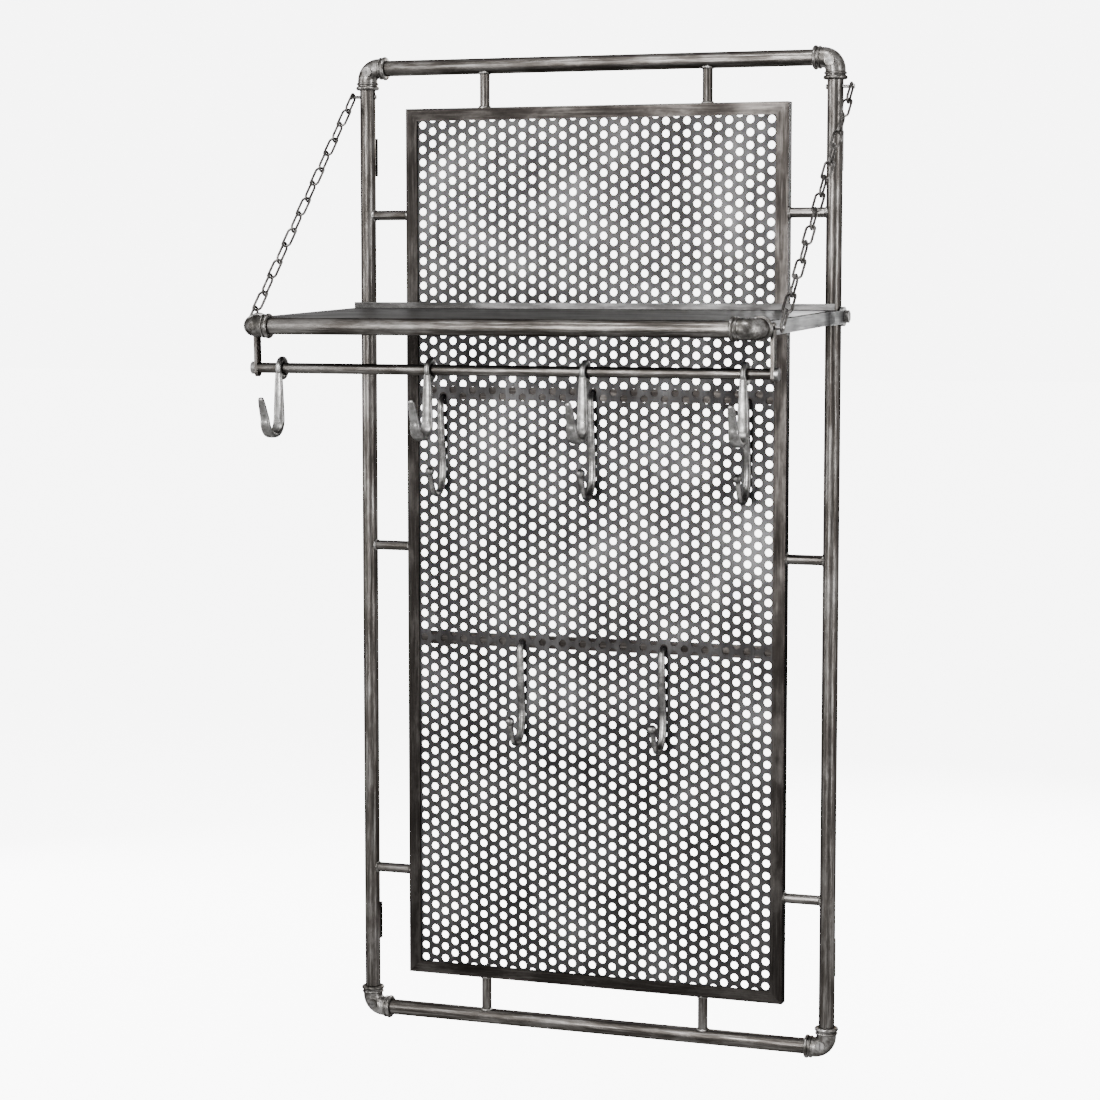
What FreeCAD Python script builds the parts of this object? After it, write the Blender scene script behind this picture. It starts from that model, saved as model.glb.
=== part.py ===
import FreeCAD, Part
import math
import os
import Sketcher
from FreeCAD import Placement, Rotation, Vector

# Wall rack: a pipe frame round a perforated panel, with a chain-held shelf.
# Frame: X to the right, Y into the wall (0 at the wall face), Z up from mid-height.

SIZES = {
    # pipe frame
    "half_width": 295.8, "half_height": 587.5, "axis_plane": -16.0,
    "pipe_radius": 9.5, "pipe_bore_radius": 8.0, "socket_depth": 9.5,
    "elbow_reach": 26.0, "elbow_bend": 15.0, "elbow_radius": 12.0, "elbow_bore": 8.0,
    "bead_outer": 14.25, "bead_half": 2.5, "ridge_outer": 13.5, "ridge_half": 1.5,
    "ridge_setback": 7.6, "boss_radius": 6.0, "boss_rise": 2.0,
    "screw_head_radius": 4.0, "screw_head_height": 2.2, "screw_radius": 2.4,
    "screw_length": 5.0, "slot_width": 1.1, "slot_depth": 1.0,
    "stub_radius": 6.0, "stub_level": 408.5, "end_stub_offset": 141.0,
    # panel
    "panel_half_width": 242.0, "panel_half_height": 537.5, "angle_width": 15.0,
    "angle_wall": 2.5, "panel_front": -23.5, "sheet_wall": 1.5, "sheet_gap": 0.3,
    "hole_radius": 5.0, "hole_pitch": 15.0, "column_pitch": 12.99,
    "bar_height": 16.0, "bar_wall": 3.0, "upper_bar": 191.25, "lower_bar": -112.5,
    "rod_radius": 3.5, "hook_stand_off": 25.5, "rod_bend": 5.0, "hook_drop": 127.0,
    "hook_bend": 20.0, "hook_lip": 6.0, "ball_radius": 5.0,
    # wall fixings
    "hanger_width": 13.0, "hanger_height": 46.0, "hanger_wall": 3.0,
    "hanger_level": 480.0, "keyhole_radius": 4.0,
    "keyhole_slot_radius": 2.2, "keyhole_rise": 10.0,
    # shelf
    "pivot_level": 287.5, "droop": 1.5, "shelf_reach": 336.4, "bar_half_width": 8.0,
    "bar_under": 8.5, "bar_over": 7.0, "bar_rear": 24.0, "side_bar_wall": 1.5,
    "tab_radius": 11.5, "tab_wall": 4.0, "tab_gap": 0.3, "tab_root": 46.0,
    "bolt_radius": 4.0, "bolt_bore_radius": 4.1, "hex_radius": 7.5, "hex_height": 5.3,
    "nut_height": 6.5, "plate_wall": 1.5, "plate_front": 329.7, "plate_notch": 268.0,
    "plate_shoulder": 308.0, "flange_drop": 17.0, "lip_rise": 7.0,
    "drop_bar_place": 297.0, "drop_bar_width": 12.0, "drop_bar_wall": 4.0,
    "hook_bar_drop": 49.7, "hook_bar_radius": 6.0, "tenon_radius": 4.0,
    "cap_radius": 7.2, "cap_length": 4.5,
    # front hooks
    "eye_outer": 13.5, "eye_inner": 6.5, "eye_width": 6.5, "strip_front": -12.0,
    "strip_wall": 6.0, "strip_top_width": 9.4, "strip_low_width": 12.2,
    "front_hook_drop": 78.0, "front_hook_bend": 18.5, "front_hook_lip": 25.0,
    "front_hook_lean": 11.0, "outer_hook_place": 275.0, "inner_hook_place": 92.0,
    # chains
    "chain_plane": 315.2, "chain_top_level": 553.5, "chain_pin_radius": 2.0,
    "pin_head_radius": 3.0, "pin_head_height": 1.5, "wire_radius": 1.5,
    "link_half_width": 5.0, "link_play": 0.3,
}
LINK_COUNT = 15

doc = FreeCAD.newDocument("WallRack")
sheet = doc.addObject("Spreadsheet::Sheet", "Sizes")
for row, (alias, value) in enumerate(SIZES.items(), start=1):
    sheet.set(f"A{row}", alias)
    sheet.set(f"B{row}", str(value))
    sheet.setAlias(f"B{row}", alias)
doc.recompute()
finished = []


def size(alias):
    """A driving dimension, read back from the spreadsheet."""
    return float(sheet.get(alias))


def bind(thing, **expressions):
    """Tie properties of an object to cells of the spreadsheet."""
    for name, expression in expressions.items():
        thing.setExpression(name, expression)
    return thing


def cells(expression):
    """Write the sheet's name before every alias of an expression."""
    words = expression.replace("(", "( ").replace(")", " )").split()
    return " ".join(f"Sizes.{word}" if word in SIZES else word for word in words)


def primitive(kind, label, place=None, **expressions):
    """A Part primitive whose dimensions follow the spreadsheet."""
    thing = doc.addObject(f"Part::{kind}", label)
    thing.Label = label
    bind(thing, **{name: cells(text) for name, text in expressions.items()})
    if place is not None:
        thing.Placement = place
    return thing


def fuse(label, pieces):
    """One solid from several that touch or overlap."""
    thing = doc.addObject("Part::MultiFuse", label)
    thing.Label = label
    thing.Shapes = pieces
    return thing


def cut(label, base, tool):
    """The base with the tool's volume taken away."""
    thing = doc.addObject("Part::Cut", label)
    thing.Label = label
    thing.Base = base
    thing.Tool = tool
    return thing


def group(label, pieces):
    """Identical pieces that share a node, as separate solids."""
    thing = doc.addObject("Part::Compound", label)
    thing.Label = label
    thing.Links = pieces
    return thing


def keep(thing, place=None):
    """Record a finished sub-part and put it in its place."""
    if place is not None:
        thing.Placement = place
    finished.append(thing)
    return thing


def feature(label, shape, place):
    """A finished sub-part whose shape comes from Part's own functions."""
    thing = doc.addObject("Part::Feature", label)
    thing.Label = label
    thing.Shape = shape
    thing.Placement = place
    finished.append(thing)
    return thing


def at(x, y, z, rotation=None):
    return Placement(Vector(x, y, z), rotation or Rotation())


def toward_x(side):
    """Turn a piece made along +Z so that it points to +X or to -X."""
    return Rotation(Vector(0, 1, 0), 90 * side)


SIDES = {"left": -1, "right": 1}
A = size("half_width")
HIGH = size("half_height")
PLANE = size("axis_plane")
PIVOT = Vector(0, PLANE, size("pivot_level"))
SHELF = Placement(PIVOT, Rotation(Vector(1, 0, 0), size("droop")))


# ---- PartDesign helpers -------------------------------------------------
def new_body(label):
    body = doc.addObject("PartDesign::Body", label)
    body.Label = label
    return body


def sketch_on(body, role, label):
    """An empty sketch on one of the body's own origin planes."""
    sketch = body.newObject("Sketcher::SketchObject", label)
    plane = next(item for item in body.Origin.OriginFeatures if item.Role == role)
    sketch.AttachmentSupport = [(plane, "")]
    sketch.MapMode = "FlatFace"
    return sketch


def circle(sketch, x, y, radius):
    """A circle whose radius follows an expression of the spreadsheet."""
    index = sketch.addGeometry(Part.Circle(Vector(x, y, 0), Vector(0, 0, 1), 1.0))
    rule = sketch.addConstraint(Sketcher.Constraint("Radius", index, 1.0))
    sketch.setExpression(f"Constraints[{rule}]", cells(radius))
    return index


def outline(sketch, points):
    """A closed run of straight lines."""
    first = sketch.GeometryCount
    ends = points[1:] + points[:1]
    for start, end in zip(points, ends):
        sketch.addGeometry(Part.LineSegment(Vector(*start, 0), Vector(*end, 0)))
    last = sketch.GeometryCount - 1
    for index in range(first, last + 1):
        follower = index + 1 if index < last else first
        sketch.addConstraint(Sketcher.Constraint("Coincident", index, 2, follower, 1))


def pad(body, sketch, length, centred=False, backwards=False):
    thing = body.newObject("PartDesign::Pad", sketch.Label + "_pad")
    thing.Profile = sketch
    thing.setExpression("Length", cells(length))
    thing.Midplane = centred
    thing.Reversed = backwards
    doc.recompute()
    return thing


def drill(body, sketch):
    """A pocket right through the body, both ways from the sketch."""
    before = body.Shape.Volume
    thing = body.newObject("PartDesign::Pocket", sketch.Label + "_pocket")
    thing.Profile = sketch
    thing.Type = "ThroughAll"
    thing.Midplane = True
    doc.recompute()
    if not body.Shape.Volume < before:
        raise RuntimeError(f"{sketch.Label} cuts nothing")
    return thing


def tube(label, length, place, bores=()):
    """A round tube along Z, centred, with cross bores along X at given heights."""
    body = new_body(label)
    ring = sketch_on(body, "XY_Plane", label + "_ring")
    circle(ring, 0, 0, "pipe_radius")
    circle(ring, 0, 0, "pipe_bore_radius")
    pad(body, ring, length, centred=True)
    for number, (height, radius) in enumerate(bores, start=1):
        bore = sketch_on(body, "YZ_Plane", f"{label}_bore_{number}")
        circle(bore, 0, height, radius)
        drill(body, bore)
    return keep(body, place)


# ---- pipe frame ----------------------------------------------------------
RAIL_LENGTH = "2 * ( half_height - elbow_reach + socket_depth )"
CROSS_LENGTH = "2 * ( half_width - elbow_reach + socket_depth )"


def elbow(label, turn, place, boss=False):
    """A cast elbow with beaded sockets; its corner point is at its origin."""
    bend = -size("elbow_bend")
    turns = {"": (0, bend, Rotation(Vector(1, 0, 0), 90)),
             "_b": (bend, 0, Rotation(Vector(0, 1, 0), -90))}
    body = [primitive("Torus", label + "_bend", at(bend, bend, 0), Radius1="elbow_bend",
                      Radius2="elbow_radius")]
    body[0].Angle3 = 90
    hollow = [primitive("Torus", label + "_core", at(bend, bend, 0), Radius1="elbow_bend",
                        Radius2="elbow_bore")]
    hollow[0].Angle3 = 90
    reach = size("elbow_reach")
    for tag, (x, y, rotation) in turns.items():
        along = Vector(0, -1, 0) if x == 0 else Vector(-1, 0, 0)
        start = Vector(x, y, 0)
        body.append(primitive("Cylinder", f"{label}_leg{tag}", Placement(start, rotation),
                              Radius="elbow_radius", Height="elbow_reach - elbow_bend"))
        hollow.append(primitive("Cylinder", f"{label}_way{tag}", Placement(start, rotation),
                                Radius="elbow_bore", Height="elbow_reach - elbow_bend"))
        socket = along * (reach - size("socket_depth") - 0.1)
        hollow.append(primitive("Cylinder", f"{label}_socket{tag}", Placement(socket, rotation),
                                Radius="pipe_radius + 0.03", Height="socket_depth + 1"))
        bead = along * (reach - size("bead_half"))
        body.append(primitive("Torus", f"{label}_bead{tag}", Placement(bead, rotation),
                              Radius1="bead_outer - bead_half", Radius2="bead_half"))
        ridge = along * (reach - size("ridge_setback"))
        body.append(primitive("Torus", f"{label}_ridge{tag}", Placement(ridge, rotation),
                              Radius1="ridge_outer - ridge_half", Radius2="ridge_half"))
    if boss:
        face = elbow_face()
        body.append(primitive("Cylinder", label + "_boss", at(*face, size("elbow_bore") + 1),
                              Radius="boss_radius",
                              Height="elbow_radius - elbow_bore - 1 + boss_rise"))
        top = size("elbow_radius") + size("boss_rise")
        sunk = top - size("screw_head_height")
        hollow.append(primitive("Cylinder", label + "_sink", at(*face, sunk),
                                Radius="screw_head_radius + 0.05", Height="boss_rise + 1"))
        hollow.append(primitive("Cylinder", label + "_thread", at(*face, 0),
                                Radius="screw_radius + 0.05", Height="elbow_radius"))
    outside = fuse(label + "_outside", body)
    inside = fuse(label + "_inside", hollow)
    turned = place.multiply(Placement(Vector(), Rotation(Vector(0, 0, 1), turn)))
    return keep(cut(label, outside, inside), turned)


def elbow_face():
    """Where the boss stands on the elbow's bend, from its corner point."""
    crest = size("elbow_bend") * (math.cos(math.radians(45)) - 1)
    return crest, crest


def elbow_screw(label, turn, place):
    """A slotted screw in the elbow's boss."""
    top = size("elbow_radius") + size("boss_rise")
    under = top - size("screw_head_height")
    face = elbow_face()
    head = primitive("Cylinder", label + "_head", at(*face, under),
                     Radius="screw_head_radius", Height="screw_head_height")
    shank = primitive("Cylinder", label + "_shank", at(*face, under - size("screw_length")),
                      Radius="screw_radius", Height="screw_length")
    slot_place = at(face[0] - size("screw_head_radius"), face[1] - size("slot_width") / 2,
                    top - size("slot_depth"))
    slot = primitive("Box", label + "_slot", slot_place, Length="2 * screw_head_radius",
                     Width="slot_width", Height="slot_depth")
    screw = cut(label, fuse(label + "_blank", [head, shank]), slot)
    screw.Placement = place.multiply(Placement(Vector(), Rotation(Vector(0, 0, 1), turn)))
    return screw


def coped_stub(label, start, direction, length, pipe_place):
    """A short rod whose far end is coped to sit round a pipe."""
    rotation = Rotation(Vector(0, 0, 1), direction)
    rod = primitive("Cylinder", label + "_rod", Placement(start, rotation), Radius="stub_radius")
    rod.setExpression("Height", cells(length))
    pipe = primitive("Cylinder", label + "_pipe", pipe_place, Radius="pipe_radius + 0.03")
    pipe.Height = 4 * size("stub_radius")
    return cut(label, rod, pipe)


def pipe_frame():
    bores = [(size("pivot_level"), "bolt_bore_radius"),
             (size("chain_top_level"), "chain_pin_radius + 0.05")]
    for name, side in SIDES.items():
        tube(f"rail_{name}", RAIL_LENGTH, at(side * A, PLANE, 0), bores)
    for name, side in {"bottom": -1, "top": 1}.items():
        tube(f"pipe_{name}", CROSS_LENGTH, at(0, PLANE, side * HIGH, toward_x(1)))
    corners = {"top_right": (1, 1, 0), "top_left": (-1, 1, 90),
               "bottom_left": (-1, -1, 180), "bottom_right": (1, -1, 270)}
    screws = []
    for name, (x_side, z_side, turn) in corners.items():
        place = at(x_side * A, PLANE, z_side * HIGH, Rotation(Vector(1, 0, 0), 90))
        elbow(f"elbow_{name}", turn, place, boss=True)
        screws.append(elbow_screw(f"screw_{name}", turn, place))
    keep(group("elbow_screws", screws))


def stubs():
    """The short rods that hold the panel in the pipe frame."""
    reach = size("stub_radius") * 2
    side_stubs = []
    level = size("stub_level")
    edge = size("panel_half_width")
    for name, side in SIDES.items():
        for number, height in enumerate((-level, 0.0, level), start=1):
            pipe_place = at(side * A, PLANE, height - reach)
            side_stubs.append(coped_stub(
                f"side_stub_{name}_{number}", Vector(side * edge, PLANE, height),
                Vector(side, 0, 0), "half_width - panel_half_width - pipe_radius + 3", pipe_place))
    keep(group("side_stubs", side_stubs))
    end_stubs = []
    edge = size("panel_half_height")
    for name, side in {"bottom": -1, "top": 1}.items():
        for number, x_side in enumerate((-1, 1), start=1):
            x = x_side * size("end_stub_offset")
            pipe_place = at(x - reach, PLANE, side * HIGH, toward_x(1))
            end_stubs.append(coped_stub(
                f"end_stub_{name}_{number}", Vector(x, PLANE, side * edge),
                Vector(0, 0, side), "half_height - panel_half_height - pipe_radius + 3",
                pipe_place))
    keep(group("end_stubs", end_stubs))


# ---- panel ---------------------------------------------------------------
def panel_frame_member(label, half_length, half_across, turn):
    """A mitred steel angle: a front flange and a leg that runs back from its outer edge."""
    body = new_body(label)
    for part_name, width, depth in (("flange", size("angle_width"), "angle_wall"),
                                    ("leg", size("angle_wall"), "angle_width")):
        sketch = sketch_on(body, "XY_Plane", f"{label}_{part_name}")
        outline(sketch, [(-half_length, half_across), (half_length, half_across),
                         (half_length - width, half_across - width),
                         (-half_length + width, half_across - width)])
        pad(body, sketch, depth, backwards=True)
    upright = Rotation(Vector(1, 0, 0), 90)
    place = Placement(Vector(0, size("panel_front"), 0), upright)
    return keep(body, place.multiply(Placement(Vector(), Rotation(Vector(0, 0, 1), turn))))


def hook_holes():
    """The hole that each panel hook goes through: column, height and bar level."""
    column = size("column_pitch")
    pitch = size("hole_pitch")
    upper = size("upper_bar")
    lower = size("lower_bar")
    return {"upper_left": (-15 * column, 12.5 * pitch, upper),
            "upper_middle": (0.0, 13 * pitch, upper),
            "upper_right": (15 * column, 12.5 * pitch, upper),
            "lower_left": (-7 * column, -7.5 * pitch, lower),
            "lower_right": (7 * column, -7.5 * pitch, lower)}


def panel_sheet():
    """The panel's sheet, bored where the hooks pass through it."""
    body = new_body("perforated_sheet")
    gap = size("sheet_gap")
    half_width = size("panel_half_width") - size("angle_wall") - gap
    half_height = size("panel_half_height") - size("angle_wall") - gap
    blank = sketch_on(body, "XY_Plane", "sheet_blank")
    outline(blank, [(-half_width, -half_height), (half_width, -half_height),
                    (half_width, half_height), (-half_width, half_height)])
    pad(body, blank, "sheet_wall", backwards=True)
    holes = sketch_on(body, "XY_Plane", "sheet_holes")
    for x, z, _ in hook_holes().values():
        circle(holes, x, z, "hole_radius")
    drill(body, holes)
    front = size("panel_front") + size("angle_wall")
    keep(body, at(0, front, 0, Rotation(Vector(1, 0, 0), 90)))


def cross_bar(label, level):
    """A flat bar across the back of the sheet."""
    gap = size("sheet_gap")
    inner = size("panel_half_width") - size("angle_wall") - gap
    back = size("panel_front") + size("angle_wall") + size("sheet_wall")
    place = at(-inner, back, level - size("bar_height") / 2)
    keep(primitive("Box", label, place, Width="bar_wall", Height="bar_height",
                   Length="2 * ( panel_half_width - angle_wall - sheet_gap )"))


def panel_hook(label, x, entry, bar_level):
    """A round rod hook with a ball on its tip, welded to the front of a cross bar."""
    stand = -size("hook_stand_off")
    back = size("panel_front") + size("angle_wall") + size("sheet_wall")
    bend = size("rod_bend")
    curl = size("hook_bend")
    low = bar_level - size("hook_drop") + size("rod_radius")
    lip = low + curl + size("hook_lip")
    corner = math.cos(math.radians(45))
    start = Vector(0, back, entry)
    turn_start = Vector(0, stand + bend, entry)
    turn_middle = Vector(0, stand + bend - bend * corner, entry - bend + bend * corner)
    turn_end = Vector(0, stand, entry - bend)
    curl_start = Vector(0, stand, low + curl)
    curl_middle = Vector(0, stand - curl, low)
    curl_end = Vector(0, stand - 2 * curl, low + curl)
    tip = Vector(0, stand - 2 * curl, lip)
    path = Part.Wire([Part.makeLine(start, turn_start),
                      Part.Arc(turn_start, turn_middle, turn_end).toShape(),
                      Part.makeLine(turn_end, curl_start),
                      Part.Arc(curl_start, curl_middle, curl_end).toShape(),
                      Part.makeLine(curl_end, tip)])
    profile = Part.Wire(Part.Circle(start, Vector(0, -1, 0), size("rod_radius")).toShape())
    rod = path.makePipeShell([profile], True, False)
    ball = Part.makeSphere(size("ball_radius"), tip)
    feature(label, rod.fuse(ball), at(x, 0, 0))


def panel():
    half_width = size("panel_half_width")
    half_height = size("panel_half_height")
    panel_frame_member("panel_frame_top", half_width, half_height, 0)
    panel_frame_member("panel_frame_left", half_height, half_width, 90)
    panel_frame_member("panel_frame_bottom", half_width, half_height, 180)
    panel_frame_member("panel_frame_right", half_height, half_width, 270)
    panel_sheet()
    cross_bar("cross_bar_upper", size("upper_bar"))
    cross_bar("cross_bar_lower", size("lower_bar"))
    for name, (x, entry, bar_level) in hook_holes().items():
        panel_hook(f"panel_hook_{name}", x, entry, bar_level)


def hanger(label, place):
    """A keyhole plate against the wall, with two feet forward to the rail's back."""
    body = new_body(label)
    half = size("hanger_height") / 2
    wall = size("hanger_wall")
    front = PLANE + size("pipe_radius")
    profile = sketch_on(body, "YZ_Plane", label + "_profile")
    outline(profile, [(0, -half), (0, half), (front, half), (front, half - wall),
                      (-wall, half - wall), (-wall, wall - half), (front, wall - half),
                      (front, -half)])
    pad(body, profile, "hanger_width", centred=True)
    keyhole = sketch_on(body, "XZ_Plane", label + "_keyhole")
    slot = size("keyhole_slot_radius")
    rise = size("keyhole_rise")
    circle(keyhole, 0, 0, "keyhole_radius")
    drill(body, keyhole)
    way = sketch_on(body, "XZ_Plane", label + "_way")
    outline(way, [(-slot, 0), (slot, 0), (slot, rise), (-slot, rise)])
    drill(body, way)
    end = sketch_on(body, "XZ_Plane", label + "_end")
    circle(end, 0, rise, "keyhole_slot_radius")
    drill(body, end)
    body.Placement = place
    return body


def wall_fixings():
    plates = []
    for name, side in SIDES.items():
        for number, z_side in enumerate((-1, 1), start=1):
            place = at(side * A, 0, z_side * size("hanger_level"))
            plates.append(hanger(f"hanger_{name}_{number}", place))
    keep(group("hanger_plates", plates))


# ---- shelf ---------------------------------------------------------------
def on_shelf(x, forward, z, rotation=None):
    """A place given along the shelf, from its pivot axis."""
    return SHELF.multiply(at(x, -forward, z, rotation))


def side_bar(name, side):
    """A square tube with a round spigot in front and a pivot tab behind."""
    label = f"shelf_side_bar_{name}"
    outer = A + size("bar_half_width")
    front = size("shelf_reach") - size("elbow_reach")
    under = -size("bar_under")
    wall = size("side_bar_wall")
    tab_in = A + size("pipe_radius") + size("tab_gap")
    tab_out = tab_in + size("tab_wall")
    x0 = side * A - size("bar_half_width")
    bar = primitive("Box", label + "_tube", at(x0, -front, under),
                    Length="2 * bar_half_width", Height="bar_under + bar_over",
                    Width="shelf_reach - elbow_reach - bar_rear")
    bore = primitive("Box", label + "_tube_bore", at(x0 + wall, -front + 6 * wall, under + wall),
                     Length="2 * ( bar_half_width - side_bar_wall )",
                     Height="bar_under + bar_over - 2 * side_bar_wall",
                     Width="shelf_reach - elbow_reach - bar_rear")
    spigot = primitive("Cylinder", label + "_spigot",
                       at(side * A, -front, 0, Rotation(Vector(1, 0, 0), 90)),
                       Radius="elbow_bore", Height="socket_depth")
    eye = primitive("Cylinder", label + "_eye", at(side * tab_in, 0, 0, toward_x(side)),
                    Radius="tab_radius", Height="tab_wall")
    blade = primitive("Box", label + "_blade", Width="tab_root", Length="tab_wall",
                      Height="bar_under + bar_over")
    blade.Placement = at(min(side * tab_in, side * tab_out), -size("tab_root"), under)
    joggle = primitive("Box", label + "_joggle", Height="bar_under + bar_over",
                       Width="tab_root - bar_rear")
    joggle.Length = tab_out - outer
    joggle.Placement = at(min(side * outer, side * tab_out), -size("tab_root"), under)
    hole = primitive("Cylinder", label + "_hole", at(side * outer, 0, 0, toward_x(side)),
                     Radius="bolt_bore_radius", Height="4 * tab_wall")
    pin = primitive("Cylinder", label + "_pin_hole",
                    at(side * (outer - 3 * wall), -size("drop_bar_place"), 0, toward_x(side)),
                    Radius="chain_pin_radius + 0.05", Height="4 * tab_wall")
    solid = fuse(label + "_solid", [bar, spigot, eye, blade, joggle])
    voids = fuse(label + "_voids", [bore, hole, pin])
    keep(cut(label, solid, voids), SHELF)


def shelf_plate():
    """A folded plate on the side bars, notched round the front elbows, with a rear lip."""
    body = new_body("shelf_plate")
    outer = A + size("bar_half_width")
    inner = A - size("bar_half_width") - size("sheet_gap")
    rear = -size("bar_rear")
    notch = size("plate_notch")
    shoulder = -size("plate_shoulder")
    front = -size("plate_front")
    wall = size("plate_wall")
    top = sketch_on(body, "XY_Plane", "plate_top")
    outline(top, [(-outer, rear), (outer, rear), (outer, shoulder), (notch, shoulder),
                  (notch, front), (-notch, front), (-notch, shoulder), (-outer, shoulder)])
    pad(body, top, "plate_wall", backwards=True)
    flange = sketch_on(body, "XY_Plane", "plate_flange")
    outline(flange, [(-inner, rear), (inner, rear), (inner, rear - wall), (-inner, rear - wall)])
    pad(body, flange, "flange_drop", backwards=True)
    lip = sketch_on(body, "XY_Plane", "plate_lip")
    outline(lip, [(-outer, rear), (outer, rear), (outer, rear - wall), (-outer, rear - wall)])
    pad(body, lip, "lip_rise")
    keep(body, on_shelf(0, 0, size("bar_over") + wall))


def drop_bar(name, side):
    """A flat bar down the outside of the side bar, with rounded ends."""
    label = f"drop_bar_{name}"
    outer = side * (A + size("bar_half_width"))
    place = size("drop_bar_place")
    low = size("hook_bar_drop") + 4
    ends = [primitive("Cylinder", f"{label}_end_{number}", at(outer, -place, z, toward_x(side)),
                      Radius="drop_bar_width / 2", Height="drop_bar_wall")
            for number, z in enumerate((0, -low), start=1)]
    blade = primitive("Box", label + "_blade", Length="drop_bar_wall", Width="drop_bar_width")
    blade.Height = low
    blade.Placement = at(min(outer, outer + side * size("drop_bar_wall")),
                         -place - size("drop_bar_width") / 2, -low)
    holes = [primitive("Cylinder", label + "_tenon_hole",
                       at(outer - side, -place, -size("hook_bar_drop"), toward_x(side)),
                       Radius="tenon_radius + 0.03", Height="2 * drop_bar_wall"),
             primitive("Cylinder", label + "_pin_hole", at(outer - side, -place, 0,
                                                           toward_x(side)),
                       Radius="chain_pin_radius + 0.05", Height="2 * drop_bar_wall")]
    keep(cut(label, fuse(label + "_solid", ends + [blade]), fuse(label + "_holes", holes)), SHELF)


def hook_bar():
    """A round bar between the drop bars, with a tenon through each and an end cap on it."""
    outer = A + size("bar_half_width")
    place = size("drop_bar_place")
    low = -size("hook_bar_drop")
    rod = primitive("Cylinder", "hook_bar_rod", at(-outer, -place, low, toward_x(1)),
                    Radius="hook_bar_radius", Height="2 * ( half_width + bar_half_width )")
    tip = outer + size("drop_bar_wall") + 3
    tenon = primitive("Cylinder", "hook_bar_tenon", at(-tip, -place, low, toward_x(1)),
                      Radius="tenon_radius")
    tenon.Height = 2 * tip
    keep(fuse("hook_bar", [rod, tenon]), SHELF)
    caps = []
    for name, side in SIDES.items():
        face = side * (outer + size("drop_bar_wall"))
        cap = primitive("Cylinder", f"cap_{name}_blank", at(face, -place, low, toward_x(side)),
                        Radius="cap_radius", Height="cap_length")
        bore = primitive("Cylinder", f"cap_{name}_bore", at(face, -place, low, toward_x(side)),
                         Radius="tenon_radius + 0.03")
        bore.Height = 3.0
        caps.append(cut(f"cap_{name}", cap, bore))
    keep(group("hook_bar_caps", caps), SHELF)


def pin(label, start, length, side):
    """A plain pin with a button head at each end."""
    shank = primitive("Cylinder", label + "_shank", at(*start, toward_x(side)),
                      Radius="chain_pin_radius")
    shank.Height = length
    inner = primitive("Cylinder", label + "_inner_head", at(*start, toward_x(-side)),
                      Radius="pin_head_radius", Height="pin_head_height")
    end = (start[0] + side * length, start[1], start[2])
    outer = primitive("Cylinder", label + "_outer_head", at(*end, toward_x(side)),
                      Radius="pin_head_radius", Height="pin_head_height")
    return fuse(label, [shank, inner, outer])


def chain_pins():
    """The pins that hold each chain: through the rail above, in the side bar below."""
    tip = size("chain_plane") + size("wire_radius") + 0.4
    top = []
    low = []
    for name, side in SIDES.items():
        start = A - size("pipe_radius")
        top.append(pin(f"top_pin_{name}", (side * start, PLANE, size("chain_top_level")),
                       tip - start, side))
        start = A + size("bar_half_width") - size("side_bar_wall")
        low.append(pin(f"shelf_pin_{name}", (side * start, -size("drop_bar_place"), 0),
                       tip - start, side))
    keep(group("chain_pins_top", top))
    keep(group("chain_pins_shelf", low), SHELF)


def pivots():
    """A hex bolt through each rail and tab, with its nut on the inside."""
    head_in = A + size("pipe_radius") + size("tab_gap") + size("tab_wall") + size("tab_gap")
    nut_out = A - size("pipe_radius")
    tail = nut_out - size("nut_height") - 1.5
    bolts = []
    nuts = []
    for name, side in SIDES.items():
        level = size("pivot_level")
        head = primitive("Prism", f"bolt_head_{name}", at(side * head_in, PLANE, level,
                                                          toward_x(side)),
                         Circumradius="hex_radius", Height="hex_height")
        shank = primitive("Cylinder", f"bolt_shank_{name}",
                          at(side * tail, PLANE, level, toward_x(side)), Radius="bolt_radius")
        shank.Height = head_in - tail
        bolts.append(fuse(f"bolt_{name}", [head, shank]))
        blank = primitive("Prism", f"nut_blank_{name}", at(side * nut_out, PLANE, level,
                                                           toward_x(-side)),
                          Circumradius="hex_radius", Height="nut_height")
        bore = primitive("Cylinder", f"nut_bore_{name}", at(side * nut_out, PLANE, level,
                                                            toward_x(-side)),
                         Radius="bolt_radius + 0.02", Height="nut_height")
        nuts.append(cut(f"nut_{name}", blank, bore))
    keep(group("pivot_bolts", bolts))
    keep(group("pivot_nuts", nuts))


def shelf():
    tube("shelf_front_pipe", CROSS_LENGTH,
         on_shelf(0, size("shelf_reach"), 0, toward_x(1)))
    elbow("shelf_elbow_right", 270, on_shelf(A, size("shelf_reach"), 0))
    elbow("shelf_elbow_left", 180, on_shelf(-A, size("shelf_reach"), 0))
    for name, side in SIDES.items():
        side_bar(name, side)
        drop_bar(name, side)
    shelf_plate()
    hook_bar()
    chain_pins()
    pivots()


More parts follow.
